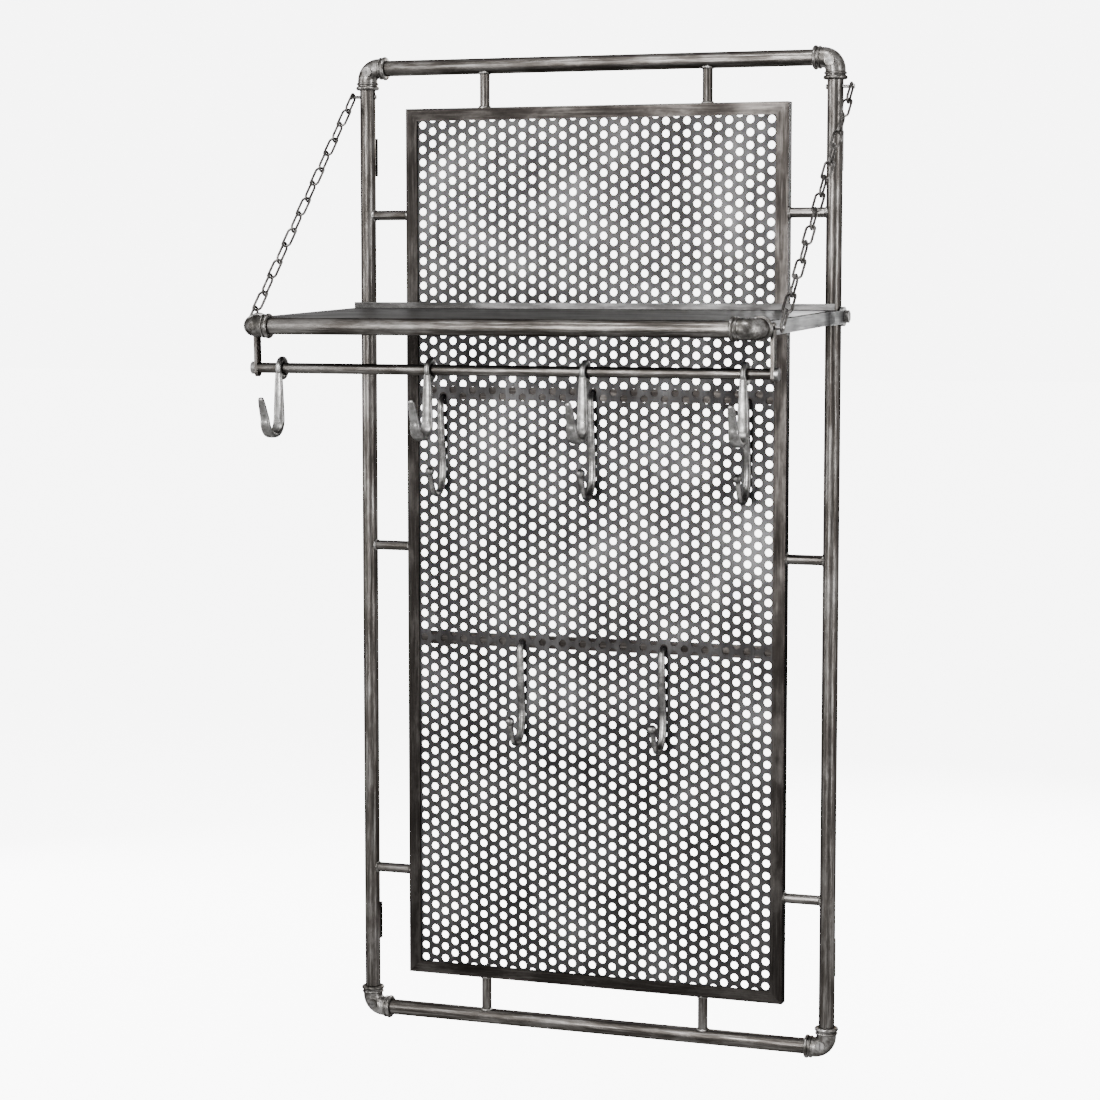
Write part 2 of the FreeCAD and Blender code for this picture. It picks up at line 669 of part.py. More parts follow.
# ---- front hooks ---------------------------------------------------------
def front_hook_shape():
    """A forged strip hook: a ring for the bar, a stem that widens, and a J to the front."""
    ring = Part.makeCylinder(size("eye_outer"), size("eye_width"),
                             Vector(-size("eye_width") / 2, 0, 0), Vector(1, 0, 0))
    bar_way = Part.makeCylinder(size("eye_inner"), 4 * size("eye_width"),
                                Vector(-2 * size("eye_width"), 0, 0), Vector(1, 0, 0))
    front = size("strip_front")
    back = front + size("strip_wall")
    middle = (front + back) / 2
    bend = size("front_hook_bend")
    half = size("strip_wall") / 2
    centre_y = middle - bend
    centre_z = -size("front_hook_drop") + half + bend
    lip_z = centre_z + size("front_hook_lip")
    lean = size("front_hook_lean")
    far = centre_y - bend

    def point(y, z):
        return Vector(0, y, z)

    inner_curve = Part.Arc(point(front, centre_z), point(centre_y, centre_z - bend + half),
                           point(far + half, centre_z))
    tip_curve = Part.Arc(point(far + half - lean, lip_z), point(far - lean, lip_z + half),
                         point(far - half - lean, lip_z))
    outer_curve = Part.Arc(point(far - half, centre_z), point(centre_y, centre_z - bend - half),
                           point(back, centre_z))
    edges = [Part.makeLine(point(front, 0), point(front, centre_z)), inner_curve.toShape(),
             Part.makeLine(point(far + half, centre_z), point(far + half - lean, lip_z)),
             tip_curve.toShape(),
             Part.makeLine(point(far - half - lean, lip_z), point(far - half, centre_z)),
             outer_curve.toShape(), Part.makeLine(point(back, centre_z), point(back, 0)),
             Part.makeLine(point(back, 0), point(front, 0))]
    low_half = size("strip_low_width") / 2
    strip = Part.Face(Part.Wire(edges)).extrude(Vector(2 * low_half, 0, 0))
    strip.translate(Vector(-low_half, 0, 0))
    top_half = size("strip_top_width") / 2
    low = -size("front_hook_drop") - half
    corners = [Vector(-top_half, 0, 0), Vector(top_half, 0, 0), Vector(low_half, 0, low),
               Vector(-low_half, 0, low), Vector(-top_half, 0, 0)]
    taper = Part.Face(Part.makePolygon(corners)).extrude(Vector(0, 3 * far, 0))
    return ring.fuse(strip.common(taper)).cut(bar_way).removeSplitter()


def front_hooks():
    shape = front_hook_shape()
    bar = on_shelf(0, size("drop_bar_place"), -size("hook_bar_drop")).Base
    outer = size("outer_hook_place")
    inner = size("inner_hook_place")
    for number, x in enumerate((-outer, -inner, inner, outer), start=1):
        feature(f"front_hook_{number}", shape, at(x, bar.y, bar.z))


# ---- chains --------------------------------------------------------------
def link_shape(inner_length):
    """One chain link along +Z, in the YZ plane, with its upper inner end at z = 0."""
    wire = size("wire_radius")
    half = size("link_half_width")
    straight = inner_length - 2 * (half - wire)
    low = half - wire
    high = low + straight
    pieces = [Part.makeCylinder(wire, straight, Vector(0, side * half, low)) for side in (-1, 1)]
    for level, outward in ((low, -1), (high, 1)):
        start = Vector(0, -half, level)
        bend = Part.Arc(start, Vector(0, 0, level + outward * half), Vector(0, half, level))
        profile = Part.Circle(start, Vector(0, 0, 1), wire)
        path = Part.Wire(bend.toShape())
        pieces.append(path.makePipeShell([Part.Wire(profile.toShape())], True, False))
    return pieces[0].multiFuse(pieces[1:])


def chains():
    """Long-link chains, taut from the rails down to the front of the shelf."""
    top = Vector(0, PLANE, size("chain_top_level"))
    low = on_shelf(0, size("drop_bar_place"), 0).Base
    span = low - top
    pin_radius = size("chain_pin_radius")
    pitch = (span.Length + 2 * pin_radius) / LINK_COUNT
    direction = Vector(span)
    direction.normalize()
    play = size("link_play")
    link = link_shape(pitch + play)
    turned = link.copy()
    turned.rotate(Vector(), Vector(0, 0, 1), 90)
    aim = Rotation(Vector(0, 0, 1), direction)
    plane = size("chain_plane")
    for number in range(1, LINK_COUNT + 1):
        pair = []
        for side in (-1, 1):
            piece = (link if number % 2 else turned).copy()
            piece.translate(Vector(side * plane, 0, 0))
            pair.append(piece)
        start = top + direction * ((number - 1) * pitch - pin_radius - play / 2)
        feature(f"chain_link_{number:02d}", Part.makeCompound(pair), Placement(start, aim))


pipe_frame()
stubs()
panel()
wall_fixings()
shelf()
front_hooks()
chains()
doc.recompute()

# ---- checks and files ----------------------------------------------------
for thing in doc.Objects:
    if "Invalid" in thing.State or "Error" in thing.State:
        raise RuntimeError(f"{thing.Label} did not recompute: {thing.State}")
for thing in finished:
    if thing.Shape.isNull() or not thing.Shape.isValid():
        raise RuntimeError(f"{thing.Label} has no valid shape")
os.makedirs("parts", exist_ok=True)
for thing in finished:
    thing.Shape.exportStep(f"parts/{thing.Label}.step")
print(len(finished), "sub-parts written")
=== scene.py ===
import math

import bmesh
import bpy
from mathutils import Matrix, Vector, noise


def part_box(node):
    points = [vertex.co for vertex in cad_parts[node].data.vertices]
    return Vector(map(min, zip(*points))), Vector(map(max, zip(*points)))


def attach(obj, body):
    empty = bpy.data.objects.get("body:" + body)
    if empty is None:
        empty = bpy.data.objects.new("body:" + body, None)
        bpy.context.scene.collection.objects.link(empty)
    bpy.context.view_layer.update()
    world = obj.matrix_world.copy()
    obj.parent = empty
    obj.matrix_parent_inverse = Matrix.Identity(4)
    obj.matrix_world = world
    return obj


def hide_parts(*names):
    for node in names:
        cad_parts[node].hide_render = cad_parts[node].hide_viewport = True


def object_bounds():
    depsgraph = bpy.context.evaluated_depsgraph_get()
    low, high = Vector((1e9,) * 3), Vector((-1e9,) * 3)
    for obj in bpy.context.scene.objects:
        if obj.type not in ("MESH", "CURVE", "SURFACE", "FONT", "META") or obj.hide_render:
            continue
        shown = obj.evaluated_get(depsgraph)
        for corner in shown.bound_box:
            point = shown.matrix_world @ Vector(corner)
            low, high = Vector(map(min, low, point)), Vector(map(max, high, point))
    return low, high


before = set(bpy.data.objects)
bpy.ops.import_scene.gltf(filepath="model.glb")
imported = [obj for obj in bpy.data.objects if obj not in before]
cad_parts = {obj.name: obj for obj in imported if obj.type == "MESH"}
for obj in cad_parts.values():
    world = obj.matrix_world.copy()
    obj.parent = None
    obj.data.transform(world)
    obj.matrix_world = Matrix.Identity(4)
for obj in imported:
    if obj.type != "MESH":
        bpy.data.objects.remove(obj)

MM = 0.001
cad_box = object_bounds()


# ---- materials -----------------------------------------------------------
class Shader:
    """A node material being put together."""

    def __init__(self, name):
        self.material = bpy.data.materials.new(name)
        self.material.use_nodes = True
        self.tree = self.material.node_tree
        self.surface = self.tree.nodes["Principled BSDF"]
        self.place = self.add("ShaderNodeTexCoord").outputs["Object"]

    def add(self, kind, **settings):
        node = self.tree.nodes.new(kind)
        for name, value in settings.items():
            setattr(node, name, value)
        return node

    def link(self, output, target):
        self.tree.links.new(output, target)

    def noise(self, stretch, scale, detail=5.0, roughness=0.6):
        """Noise whose grain is squeezed or drawn out along each axis."""
        mapping = self.add("ShaderNodeMapping")
        mapping.inputs["Scale"].default_value = stretch
        self.link(self.place, mapping.inputs["Vector"])
        texture = self.add("ShaderNodeTexNoise")
        texture.inputs["Scale"].default_value = scale
        texture.inputs["Detail"].default_value = detail
        texture.inputs["Roughness"].default_value = roughness
        self.link(mapping.outputs["Vector"], texture.inputs["Vector"])
        return texture.outputs["Fac"]

    def ramp(self, source, stops):
        """Colours along a value, as (position, colour) stops."""
        node = self.add("ShaderNodeValToRGB")
        band = node.color_ramp
        band.elements[0].position, band.elements[0].color = stops[0][0], (*stops[0][1], 1)
        band.elements[1].position, band.elements[1].color = stops[-1][0], (*stops[-1][1], 1)
        for position, colour in stops[1:-1]:
            band.elements.new(position).color = (*colour, 1)
        self.link(source, node.inputs["Fac"])
        return node.outputs["Color"]

    def blend(self, factor, first, second, mode="MIX"):
        """Two colours mixed; a plain number is a constant factor."""
        node = self.add("ShaderNodeMix", data_type="RGBA", blend_type=mode)
        if isinstance(factor, float):
            node.inputs["Factor"].default_value = factor
        else:
            self.link(factor, node.inputs["Factor"])
        self.link(first, node.inputs[6])
        self.link(second, node.inputs[7])
        return node.outputs[2]

    def spread(self, source, low, high, start=0.3, end=0.7):
        """A value in one range brought to another."""
        node = self.add("ShaderNodeMapRange")
        node.inputs["From Min"].default_value = start
        node.inputs["From Max"].default_value = end
        node.inputs["To Min"].default_value = low
        node.inputs["To Max"].default_value = high
        self.link(source, node.inputs["Value"])
        return node.outputs["Result"]

    def make_metal(self):
        """Metal whose patina keeps its grazing reflections dark."""
        self.surface.inputs["Metallic"].default_value = 1.0
        self.surface.inputs["Specular Tint"].default_value = (EDGE_TINT, EDGE_TINT, EDGE_TINT, 1)

    def bump(self, height, strength, distance):
        node = self.add("ShaderNodeBump")
        node.inputs["Strength"].default_value = strength
        node.inputs["Distance"].default_value = distance
        self.link(height, node.inputs["Height"])
        self.link(node.outputs["Normal"], self.surface.inputs["Normal"])


def along(axis, fine=1.0, long=0.035):
    """The stretch that draws noise out along one axis."""
    return tuple(long if name == axis else fine for name in "XYZ")


def worn_steel(name, axis, dark, middle, light, rough=(0.24, 0.46), patch=0.35, grain=420.0,
               bump=0.25):
    """Antiqued steel: brushed streaks along its length, with darker and burnished places."""
    steel = Shader(name)
    streaks = steel.noise(along(axis), grain, detail=6.0, roughness=0.7)
    cloud = steel.noise(along(axis, long=0.35), 34.0, detail=6.0, roughness=0.65)
    specks = steel.noise((1, 1, 1), 900.0, detail=3.0)
    base = steel.ramp(streaks, [(0.30, dark), (0.52, middle), (0.72, light)])
    burn = steel.ramp(cloud, [(0.36, dark), (0.50, middle), (0.66, light)])
    colour = steel.blend(patch, base, burn)
    pits = steel.ramp(specks, [(0.28, (0.35, 0.32, 0.30)), (0.40, (1, 1, 1))])
    steel.link(steel.blend(0.8, colour, pits, "MULTIPLY"), steel.surface.inputs["Base Color"])
    steel.make_metal()
    mixed = steel.blend(0.5, streaks, cloud)
    steel.link(steel.spread(mixed, rough[1], rough[0]), steel.surface.inputs["Roughness"])
    steel.bump(streaks, bump, 0.0004)
    return steel.material


def cast_steel(name, dark, middle, light, rough=(0.22, 0.44), bump=0.45, pitting=0.85):
    """Cast or forged steel: a lumpy skin, dark in the hollows and bright where it is worn."""
    steel = Shader(name)
    lumps = steel.noise((1, 1, 1), 130.0, detail=5.0, roughness=0.6)
    cloud = steel.noise((1, 1, 1), 38.0, detail=6.0, roughness=0.7)
    pores = steel.noise((1, 1, 1), 1100.0, detail=3.0, roughness=0.6)
    base = steel.ramp(cloud, [(0.34, dark), (0.50, middle), (0.64, light)])
    skin = steel.ramp(lumps, [(0.32, dark), (0.50, middle), (0.68, light)])
    pits = steel.ramp(pores, [(0.30, (0.30, 0.27, 0.25)), (0.42, (1, 1, 1))])
    colour = steel.blend(0.45, base, skin)
    steel.link(steel.blend(pitting, colour, pits, "MULTIPLY"), steel.surface.inputs["Base Color"])
    steel.make_metal()
    steel.link(steel.spread(lumps, rough[1], rough[0]), steel.surface.inputs["Roughness"])
    height = steel.blend(0.4, lumps, pores)
    steel.bump(height, bump, 0.0006)
    return steel.material


def panel_steel():
    """Dark sheet steel with soft pale burnished clouds and fine scratches."""
    steel = Shader("panel_steel")
    cloud = steel.noise((1, 1, 1.2), 7.5, detail=7.0, roughness=0.62)
    smudge = steel.noise((1.6, 1, 0.7), 26.0, detail=5.0, roughness=0.6)
    scratch = steel.noise(along("Z", long=0.02), 650.0, detail=4.0, roughness=0.7)
    dark, middle, light = (0.014, 0.013, 0.013), (0.034, 0.033, 0.033), (0.080, 0.079, 0.080)
    base = steel.ramp(cloud, [(0.40, dark), (0.54, middle), (0.70, light)])
    patches = steel.ramp(smudge, [(0.36, dark), (0.55, middle), (0.72, light)])
    lines = steel.ramp(scratch, [(0.35, (0.6, 0.6, 0.6)), (0.62, (1, 1, 1))])
    colour = steel.blend(0.4, base, patches)
    steel.link(steel.blend(0.7, colour, lines, "MULTIPLY"), steel.surface.inputs["Base Color"])
    steel.make_metal()
    steel.link(steel.spread(cloud, 0.54, 0.36), steel.surface.inputs["Roughness"])
    steel.bump(scratch, 0.12, 0.0003)
    return steel.material


TUBE = ((0.008, 0.007, 0.006), (0.050, 0.045, 0.041), (0.26, 0.25, 0.24))
CAST = ((0.016, 0.015, 0.013), (0.080, 0.075, 0.070), (0.36, 0.35, 0.34))
FRAME = ((0.0045, 0.0038, 0.0034), (0.013, 0.0115, 0.0105), (0.062, 0.057, 0.053))
PALE = ((0.10, 0.10, 0.10), (0.25, 0.25, 0.25), (0.46, 0.46, 0.46))
DARK = ((0.022, 0.021, 0.020), (0.070, 0.068, 0.067), (0.17, 0.167, 0.165))
ROD = ((0.030, 0.029, 0.028), (0.11, 0.107, 0.104), (0.38, 0.37, 0.36))
FORGED = ((0.050, 0.048, 0.046), (0.13, 0.127, 0.123), (0.34, 0.335, 0.33))
WIRE = ((0.022, 0.020, 0.019), (0.070, 0.066, 0.063), (0.24, 0.23, 0.22))
EDGE_TINT = 0.30


def build_materials():
    tube = {axis: worn_steel(f"tube_steel_{axis.lower()}", axis, *TUBE) for axis in "XYZ"}
    edge = {axis: worn_steel(f"frame_steel_{axis.lower()}", axis, *FRAME, patch=0.5)
            for axis in "XZ"}
    return {
        "tube": tube, "edge": edge,
        "cast": cast_steel("cast_elbow_steel", *CAST),
        "pale": worn_steel("side_bar_steel", "Y", *PALE, rough=(0.3, 0.5)),
        "plate": worn_steel("plate_steel", "X", *DARK, rough=(0.34, 0.52), patch=0.7, bump=0.06),
        "rod": cast_steel("hook_rod_steel", *ROD, rough=(0.24, 0.40), bump=0.1, pitting=0.2),
        "forged": cast_steel("forged_hook_steel", *FORGED, rough=(0.26, 0.42), bump=0.12,
                             pitting=0.25),
        "wire": cast_steel("chain_steel", *WIRE, rough=(0.32, 0.5), bump=0.08, pitting=0.2),
        "bolt": cast_steel("bolt_steel", *ROD, rough=(0.28, 0.45), bump=0.15, pitting=0.4),
        "sheet": panel_steel(),
    }


def material_for(node, kit):
    """The finish of a carried-over CAD node."""
    tube, edge = kit["tube"], kit["edge"]
    if "elbow_" in node and node != "elbow_screws":
        return kit["cast"]
    if node.startswith("rail"):
        return tube["Z"]
    if node in ("pipe_top", "pipe_bottom", "shelf_front_pipe", "hook_bar", "side_stubs"):
        return tube["X"]
    if node in ("end_stubs", "drop_bar_left", "drop_bar_right"):
        return tube["Z"]
    if node.startswith("panel_frame"):
        return edge["X"] if node.endswith(("top", "bottom")) else edge["Z"]
    if node.startswith("cross_bar"):
        return edge["X"]
    if node == "hanger_plates":
        return edge["Z"]
    if node.startswith("shelf_side_bar"):
        return kit["pale"]
    if node.startswith("panel_hook"):
        return kit["rod"]
    if node.startswith("chain_link"):
        return kit["wire"]
    if node.startswith("front_hook"):
        return kit["forged"]
    named = {"shelf_plate": kit["plate"], "perforated_sheet": kit["sheet"]}
    return named.get(node, kit["bolt"])


# ---- mesh helpers --------------------------------------------------------
def new_piece(name, mesh_maker, material, body, smooth=True):
    """An object from a bmesh, with its finish, riding on a body."""
    mesh = bpy.data.meshes.new(name)
    mesh_maker.to_mesh(mesh)
    mesh_maker.free()
    for polygon in mesh.polygons:
        polygon.use_smooth = smooth
    mesh.materials.append(material)
    piece = bpy.data.objects.new(name, mesh)
    bpy.context.scene.collection.objects.link(piece)
    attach(piece, body)
    return piece


def corners_of(node):
    """The lowest and highest corner of a CAD node's box at rest."""
    low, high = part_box(node)
    return Vector(low), Vector(high)


def stitch(mesh, first, second):
    """A band of faces between two rings of as many corners."""
    count = len(first)
    for index in range(count):
        after = (index + 1) % count
        mesh.faces.new((first[index], first[after], second[after], second[index]))


def stitch_loop(mesh, rings):
    """A closed tube through rings that come back to the first."""
    for first, second in zip(rings, rings[1:] + rings[:1]):
        stitch(mesh, first, second)


def rounded(turn, power):
    """A point on a unit circle drawn out towards a square as the power rises above 2."""
    c, s = math.cos(turn), math.sin(turn)
    return math.copysign(abs(c) ** (2 / power), c), math.copysign(abs(s) ** (2 / power), s)


def directions(path):
    """The direction of travel at each point of a path."""
    last = len(path) - 1
    return [(path[min(index + 1, last)] - path[max(index - 1, 0)]).normalized()
            for index in range(len(path))]


# ---- perforated sheet ----------------------------------------------------
HOLE_PITCH = 15 * MM
COLUMN_PITCH = HOLE_PITCH * math.cos(math.radians(30))
HOLE_RADIUS = 4.7 * MM
RING = 18
COLUMNS = 17


def hole_centres(limit):
    """Staggered rows: every other column is half a pitch higher."""
    for column in range(-COLUMNS, COLUMNS + 1):
        shift = 0.5 * (column % 2)
        count = int(limit / HOLE_PITCH) + 1
        for row in range(-count, count + 1):
            height = (row + shift) * HOLE_PITCH
            if abs(height) <= limit:
                yield column * COLUMN_PITCH, height


def perforated_sheet(kit):
    """The punched sheet: hexagonal cells round the holes, out to a plain rectangle."""
    low, high = corners_of("perforated_sheet")
    mesh = bmesh.new()
    known = {}

    def vertex(x, z):
        key = (round(x / MM, 2), round(z / MM, 2))
        if key not in known:
            known[key] = mesh.verts.new((x, low.y, z))
        return known[key]

    cell = HOLE_PITCH / 2 / math.cos(math.radians(30))
    step = RING // 6
    for x, z in hole_centres(high.z - 9 * MM):
        ring = []
        for index in range(RING):
            turn = 2 * math.pi * index / RING
            ring.append(mesh.verts.new((x + HOLE_RADIUS * math.cos(turn), low.y,
                                        z + HOLE_RADIUS * math.sin(turn))))
        for side in range(6):
            ends = []
            for corner in (side, side + 1):
                turn = math.pi / 3 * corner
                ends.append(vertex(x + cell * math.cos(turn), z + cell * math.sin(turn)))
            inner = [ring[(side * step + index) % RING] for index in range(step, -1, -1)]
            mesh.faces.new([ends[0], ends[1]] + inner)
    rim = [edge for edge in mesh.edges
           if edge.is_boundary and edge.verts[0] in known.values()
           and edge.verts[1] in known.values()]
    corners = [mesh.verts.new((x, low.y, z)) for x, z in
               ((low.x, low.z), (high.x, low.z), (high.x, high.z), (low.x, high.z))]
    border = [mesh.edges.new((corners[index], corners[(index + 1) % 4])) for index in range(4)]
    bmesh.ops.triangle_fill(mesh, use_beauty=True, edges=rim + border)
    bmesh.ops.recalc_face_normals(mesh, faces=mesh.faces)
    if sum(face.normal.y * face.calc_area() for face in mesh.faces) > 0:
        bmesh.ops.reverse_faces(mesh, faces=mesh.faces)
    bmesh.ops.solidify(mesh, geom=mesh.faces, thickness=high.y - low.y)
    piece = new_piece("punched_sheet", mesh, kit["sheet"], "frame", smooth=False)
    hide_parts("perforated_sheet")
    return piece


# ---- loose front hooks ---------------------------------------------------
EYE_OUTER = 13.5 * MM
EYE_INNER = 6.5 * MM
EYE_HALF_WIDTH = 3.25 * MM
STEM_FORWARD = 9.4 * MM
STEM_START = 2 * MM
STEM_HALF = 3 * MM
HOOK_BEND = 18.5 * MM
LIP_LEAN = 11 * MM
LIP_RISE = 25 * MM


def sweep(mesh, path, half_sizes, sides=20, power=2.8):
    """Rounded sections swept along a path in a plane of constant X, closed at both ends."""
    rings = []
    for place, tangent, (across, thick) in zip(path, directions(path), half_sizes):
        normal = Vector((0, -tangent.z, tangent.y))
        ring = []
        for index in range(sides):
            x, n = rounded(2 * math.pi * index / sides, power)
            offset = Vector((x * across, 0, 0)) + normal * (n * thick)
            ring.append(mesh.verts.new(place + offset))
        rings.append(ring)
    for first, second in zip(rings, rings[1:]):
        stitch(mesh, first, second)
    mesh.faces.new(list(reversed(rings[0])))
    mesh.faces.new(rings[-1])


def hook_eye(mesh, outer, inner, half_width, steps=40, sides=14, power=8 / 3):
    """The ring of a forged hook, softly squared in section."""
    middle = (outer + inner) / 2
    thick = (outer - inner) / 2
    rings = []
    for step in range(steps):
        turn = 2 * math.pi * step / steps
        radial = Vector((0, math.cos(turn), math.sin(turn)))
        ring = []
        for index in range(sides):
            x, r = rounded(2 * math.pi * index / sides, power)
            offset = Vector((x * half_width, 0, 0))
            ring.append(mesh.verts.new(radial * (middle + r * thick) + offset))
        rings.append(ring)
    stitch_loop(mesh, rings)


def hook_path(stem, top, bend, centre_z, lean, lip, stem_steps=12, steps=26):
    """Down the stem, round the J and up the leaning lip, closer together near its tip."""
    path = [Vector((0, stem, top + (centre_z - top) * part / stem_steps))
            for part in range(stem_steps)]
    for step in range(steps + 1):
        turn = -math.pi * step / steps
        path.append(Vector((0, stem - bend + bend * math.cos(turn),
                            centre_z + bend * math.sin(turn))))
    end = path[-1]
    path += [end + Vector((0, -lean, lip)) * part
             for part in (0.17, 0.34, 0.51, 0.68, 0.82, 0.92, 0.98, 1.0)]
    return path


def hook_sections(count):
    """Half width and half thickness: a neck, a broad belly, and a blunt rounded tip."""
    tip = (0.35, 0.78, 0.95)
    sections = []
    for index in range(count):
        part = index / (count - 1)
        belly = math.sin(math.pi * min(part / 0.94, 1.0)) ** 0.7
        across = (3.6 + 3.5 * belly) * MM
        thick = (2.5 + 0.9 * belly) * MM
        rest = count - 1 - index
        close = tip[rest] if rest < len(tip) else 1.0
        sections.append((across * close, thick * close))
    return sections


def front_hook(number, kit):
    """A forged hook: eye, widening stem, and a J that ends in a blunt rounded tip."""
    node = f"front_hook_{number}"
    low, high = corners_of(node)
    centre = Vector(((low.x + high.x) / 2, high.y - EYE_OUTER, high.z - EYE_OUTER))
    mesh = bmesh.new()
    hook_eye(mesh, EYE_OUTER, EYE_INNER, EYE_HALF_WIDTH)
    bend_level = low.z - centre.z + STEM_HALF + HOOK_BEND
    path = hook_path(-STEM_FORWARD, -STEM_START, HOOK_BEND, bend_level, LIP_LEAN, LIP_RISE)
    sweep(mesh, path, hook_sections(len(path)))
    bmesh.ops.recalc_face_normals(mesh, faces=mesh.faces)
    bmesh.ops.translate(mesh, verts=mesh.verts, vec=centre)
    piece = new_piece(f"hook_forging_{number}", mesh, kit["forged"], node)
    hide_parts(node)
    return piece


# ---- panel hooks ---------------------------------------------------------
ROD_RADIUS = 3.5 * MM
BALL_RADIUS = 5.0 * MM
KNOB_RADIUS = 5.6 * MM
HOOK_REACH = 40 * MM
SWELL_START = 0.12
SWELL_LENGTH = 0.75


def smooth_path(points, steps=8):
    """A Catmull-Rom curve through points."""
    padded = [points[0] * 2 - points[1]] + points + [points[-1] * 2 - points[-2]]
    path = []
    for a, b, c, d in zip(padded, padded[1:], padded[2:], padded[3:]):
        for step in range(steps):
            t = step / steps
            path.append(0.5 * (2 * b + (c - a) * t + (2 * a - 5 * b + 4 * c - d) * t ** 2
                               + (3 * b - a - 3 * c + d) * t ** 3))
    path.append(points[-1])
    return path


def strap_sections(count):
    """Half width and half thickness: the strap swells between the sheet and the ball."""
    sections = []
    for index in range(count):
        part = (index / (count - 1) - SWELL_START) / SWELL_LENGTH
        swell = math.sin(math.pi * min(max(part, 0.0), 1.0))
        sections.append(((3.1 + 1.5 * swell) * MM, (2.8 + 0.5 * swell) * MM))
    return sections


def panel_hook(place, kit):
    """A forged strap out of the sheet, leaning back as it drops, then a J with a ball on its tip."""
    node = f"panel_hook_{place}"
    low, high = corners_of(node)
    x = (low.x + high.x) / 2
    stand = low.y + BALL_RADIUS + HOOK_REACH
    entry = high.z - ROD_RADIUS
    base = low.z + ROD_RADIUS
    drop = entry - base
    outline = [(high.y, entry), (stand + 8 * MM, entry), (stand - 2 * MM, entry - 5 * MM),
               (stand - 4 * MM, entry - 20 * MM), (stand - 1 * MM, entry - 0.45 * drop),
               (stand + 3 * MM, entry - 0.68 * drop), (stand + 1 * MM, base + 18 * MM),
               (stand - 7 * MM, base + 4 * MM), (stand - 18 * MM, base),
               (stand - 29 * MM, base + 6 * MM), (stand - HOOK_REACH, entry - 0.75 * drop)]
    path = smooth_path([Vector((x, y, z)) for y, z in outline])
    mesh = bmesh.new()
    sweep(mesh, path, strap_sections(len(path)), power=2.5)
    bmesh.ops.recalc_face_normals(mesh, faces=mesh.faces)
    bmesh.ops.create_uvsphere(mesh, u_segments=24, v_segments=14, radius=KNOB_RADIUS,
                              matrix=Matrix.Translation(path[-1]))
    piece = new_piece(f"hook_strap_{place}", mesh, kit["rod"], "frame")
    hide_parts(node)
    return piece


# ---- weld beads ----------------------------------------------------------
WELD_SIZE = 2.0 * MM
WELD_TUCK = 0.96
PIPE_BITE = 0.6 * MM
SEED_STEP = 1.7


def weld_bead(mesh, place, direction, radius, size, seed, steps=40, sides=8):
    """An uneven ring of weld round the end of a rod."""
    direction = direction.normalized()
    across = direction.orthogonal().normalized()
    other = direction.cross(across)
    rings = []
    for step in range(steps):
        turn = 2 * math.pi * step / steps
        radial = across * math.cos(turn) + other * math.sin(turn)
        swell = 1 + 0.14 * math.sin(13 * turn + seed)
        swell += 0.25 * noise.noise(radial * 2.3 + Vector((seed, 0, 0)))
        ring = []
        for index in range(sides):
            angle = 2 * math.pi * index / sides
            out = radial * (math.cos(angle) * size * swell)
            up = direction * (math.sin(angle) * size * swell * 1.1)
            ring.append(mesh.verts.new(place + radial * radius + out + up))
        rings.append(ring)
    stitch_loop(mesh, rings)


def stub_welds(kit):
    """Weld beads where the stub rods meet the panel frame and the pipes."""
    panel_top = corners_of("panel_frame_left")[1].z
    right_edge = corners_of("panel_frame_right")[1].x
    side_low, side_high = corners_of("side_stubs")
    end_high = corners_of("end_stubs")[1]
    plane = (side_low.y + side_high.y) / 2
    radius = (side_high.y - side_low.y) / 2
    mesh = bmesh.new()
    seed = 0.0
    for side in (-1, 1):
        for height in (side_low.z + radius, 0.0, side_high.z - radius):
            for x in (right_edge, side_high.x - PIPE_BITE):
                seed += SEED_STEP
                weld_bead(mesh, Vector((side * x, plane, height)), Vector((1, 0, 0)),
                          radius * WELD_TUCK, WELD_SIZE, seed)
    for side in (-1, 1):
        for x_side in (-1, 1):
            x = x_side * (end_high.x - radius)
            for z in (panel_top, end_high.z - PIPE_BITE):
                seed += SEED_STEP
                weld_bead(mesh, Vector((x, plane, side * z)), Vector((0, 0, 1)),
                          radius * WELD_TUCK, WELD_SIZE, seed)
    bmesh.ops.recalc_face_normals(mesh, faces=mesh.faces)
    return new_piece("weld_beads", mesh, kit["cast"], "frame")


# ---- stage ---------------------------------------------------------------
# Brightness of the backdrop, of what the steel reflects, and of the floor's own glow.
BACKDROP = 7.0
AMBIENT = 1.2
FLOOR_GLOW = 6.2
FLOOR_HALF = 30
FLOOR_DROP = 0.35


def plain_material(name, colour, roughness):
    """An even paint with the faintest clouding."""
    paint = Shader(name)
    grain = paint.noise((1, 1, 1), 2.0)
    clouded = tuple(value * 0.985 for value in colour)
    paint.link(paint.ramp(grain, [(0.3, clouded), (0.7, colour)]),
               paint.surface.inputs["Base Color"])
    paint.surface.inputs["Roughness"].default_value = roughness
    return paint.material


def floor():
    """A plain pale floor well below the rack, which the steel doesn't reflect."""
    mesh = bmesh.new()
    bmesh.ops.create_grid(mesh, x_segments=1, y_segments=1, size=FLOOR_HALF)
    data = bpy.data.meshes.new("floor")
    mesh.to_mesh(data)
    mesh.free()
    paint = plain_material("floor_paint", (0.90, 0.90, 0.90), 0.7)
    surface = paint.node_tree.nodes["Principled BSDF"]
    surface.inputs["Emission Color"].default_value = (1, 1, 1, 1)
    surface.inputs["Emission Strength"].default_value = FLOOR_GLOW
    data.materials.append(paint)
    plane = bpy.data.objects.new("floor", data)
    plane.location.z = cad_box[0][2] - FLOOR_DROP
    plane.visible_glossy = False
    plane.visible_diffuse = False
    bpy.context.scene.collection.objects.link(plane)


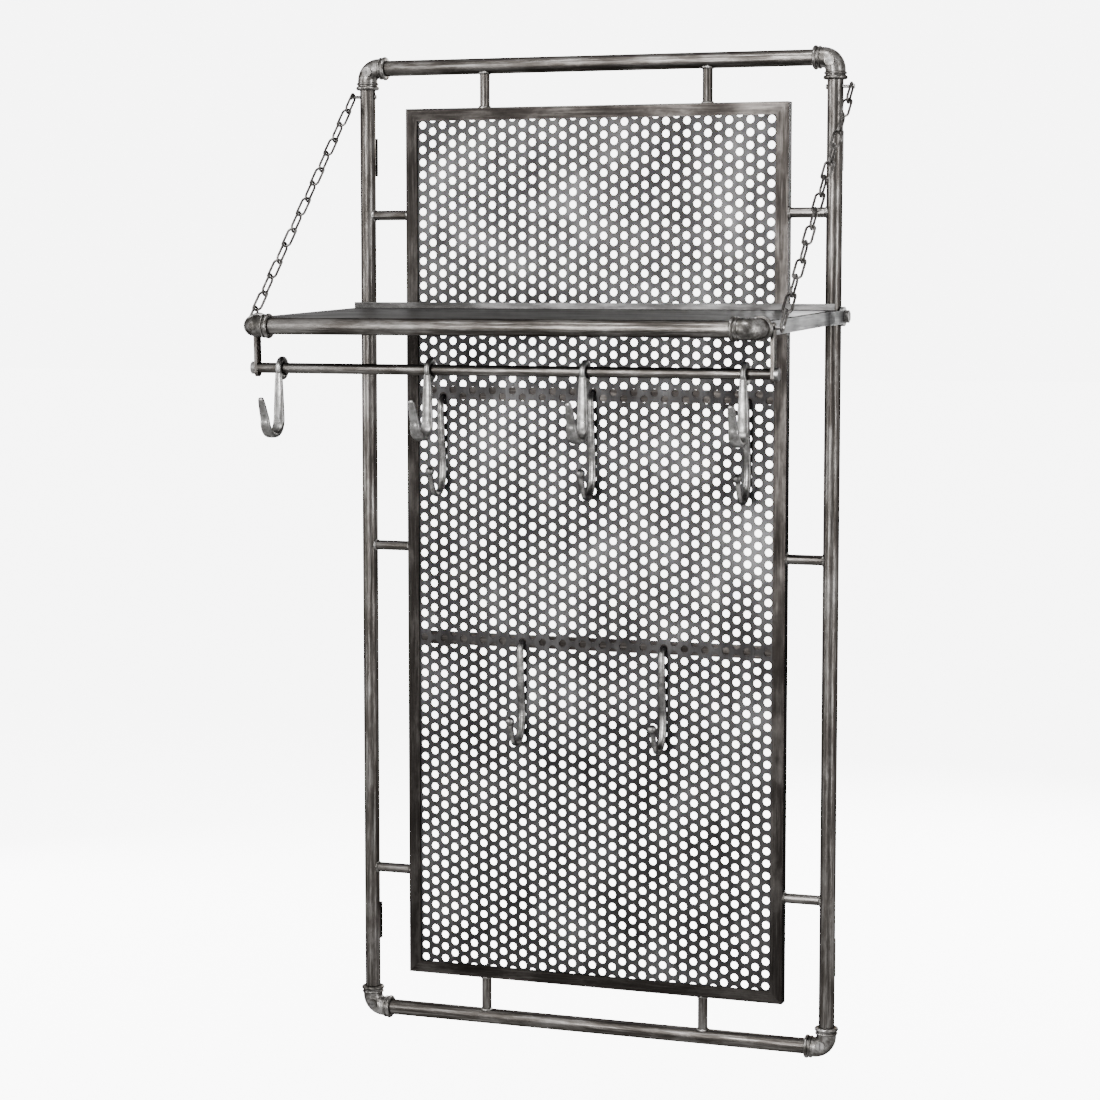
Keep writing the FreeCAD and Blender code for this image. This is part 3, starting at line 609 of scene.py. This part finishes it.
def soft_light(name, place, target, width, height, power):
    """A soft box aimed at a point."""
    data = bpy.data.lights.new(name, "AREA")
    data.shape = "RECTANGLE"
    data.size = width
    data.size_y = height
    data.energy = power
    lamp = bpy.data.objects.new(name, data)
    lamp.visible_camera = False
    lamp.location = place
    aim = Vector(target) - Vector(place)
    lamp.rotation_euler = aim.to_track_quat("-Z", "Y").to_euler()
    bpy.context.scene.collection.objects.link(lamp)


def studio():
    """A white backdrop, dim air round the rack, and tall soft boxes that draw streaks on it."""
    world = bpy.data.worlds.new("studio")
    bpy.context.scene.world = world
    world.use_nodes = True
    tree = world.node_tree
    background = tree.nodes["Background"]
    background.inputs["Color"].default_value = (1.0, 1.0, 1.0, 1)
    seen = tree.nodes.new("ShaderNodeLightPath")
    level = tree.nodes.new("ShaderNodeMapRange")
    level.inputs["To Min"].default_value = AMBIENT
    level.inputs["To Max"].default_value = BACKDROP
    tree.links.new(seen.outputs["Is Camera Ray"], level.inputs["Value"])
    tree.links.new(level.outputs["Result"], background.inputs["Strength"])
    soft_light("key_light", (-0.6, -3.0, 0.7), (0, 0, 0), 0.5, 2.3, 150)
    soft_light("side_light", (2.6, -1.3, 0.4), (0.1, 0, 0), 0.35, 2.4, 70)
    soft_light("left_light", (-2.7, -1.6, 0.6), (0, 0, 0), 0.5, 2.0, 60)
    soft_light("top_light", (0.0, -1.4, 2.4), (0, -0.1, 0.3), 1.6, 0.5, 70)
    soft_light("back_light_wide", (0.3, 3.4, 1.0), (0, 0, 0), 2.2, 1.8, 260)
    soft_light("back_light_left", (-2.2, 2.0, 0.5), (0, 0, 0), 0.4, 2.0, 70)


def camera():
    """The photograph's view: from the rack's right, a little above its middle."""
    yaw, pitch = math.radians(19.98), math.radians(5.61)
    data = bpy.data.cameras.new("camera")
    data.sensor_width = 36.0
    data.lens = 93.0
    eye = bpy.data.objects.new("camera", data)
    eye.location = (1.124, -3.264, 0.3405)
    eye.rotation_euler = (math.pi / 2 - pitch, 0, yaw)
    bpy.context.scene.collection.objects.link(eye)
    bpy.context.scene.camera = eye


kit = build_materials()
for node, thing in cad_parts.items():
    finish = material_for(node, kit)
    for place in thing.material_slots:
        place.material = finish
perforated_sheet(kit)
for number in range(1, 5):
    front_hook(number, kit)
for place in ("upper_left", "upper_middle", "upper_right", "lower_left", "lower_right"):
    panel_hook(place, kit)
stub_welds(kit)
floor()
studio()
camera()
